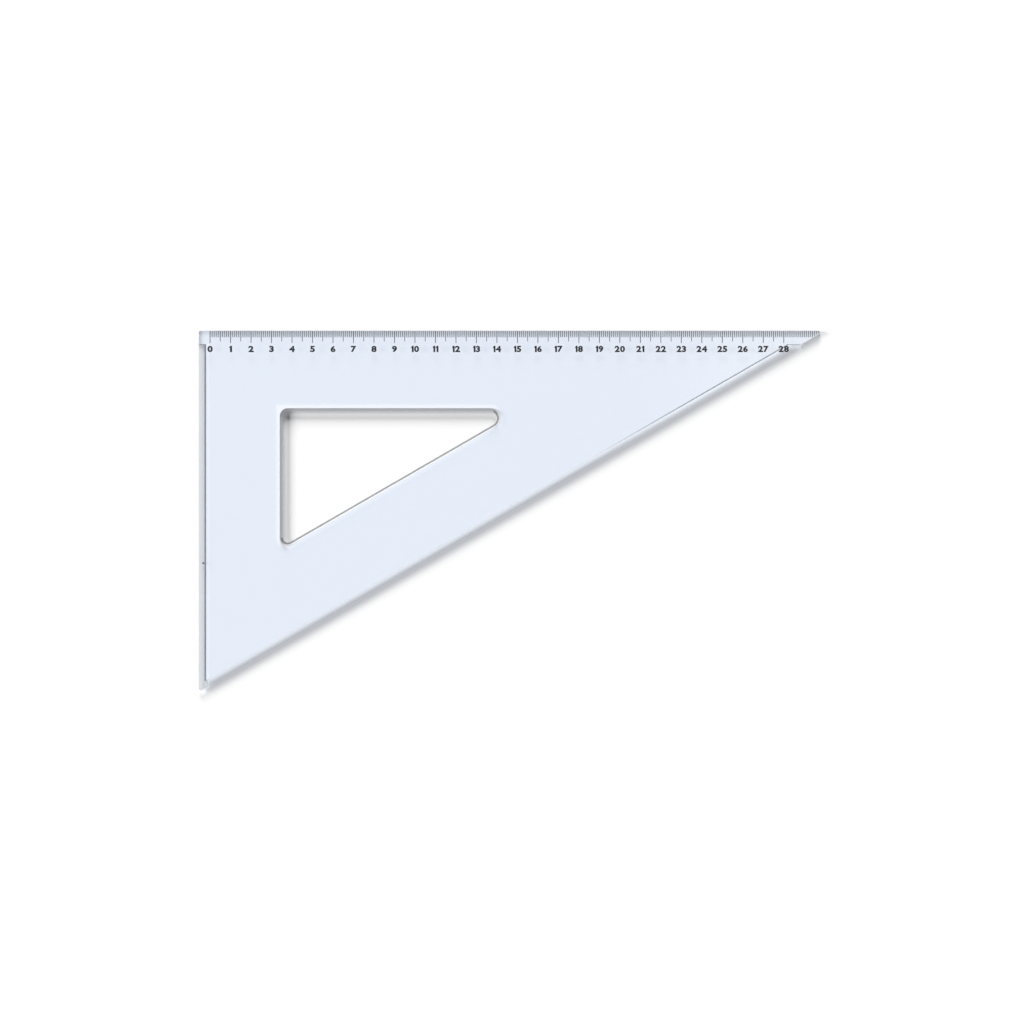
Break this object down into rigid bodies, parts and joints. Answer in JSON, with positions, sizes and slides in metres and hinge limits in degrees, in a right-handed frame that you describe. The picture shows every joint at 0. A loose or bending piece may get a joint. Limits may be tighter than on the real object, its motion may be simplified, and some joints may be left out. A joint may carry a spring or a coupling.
{
  "type": "drawing set square",
  "caption": "Clear 30/60/90 drawing set square with a triangular window, a centimetre scale printed along its long leg and inking rebates under its other edges.",
  "frame": {"origin": "middle of the plate's overall box, at its underside", "axes": "+X along the long leg from the right angle to the 30 degree tip, +Y up the short leg to the scale edge, +Z out of the printed face"},
  "size_m": [0.3032, 0.1756, 0.0022],
  "materials": {
    "clear_plastic": "clear, polished, with a faint blue tint",
    "ink": "printed black ink"
  },
  "bodies": {
    "root": {"plate": "clear_plastic", "centimetre_marks": "ink", "half_centimetre_marks": "ink", "millimetre_marks": "ink"}
  },
  "joints": []
}
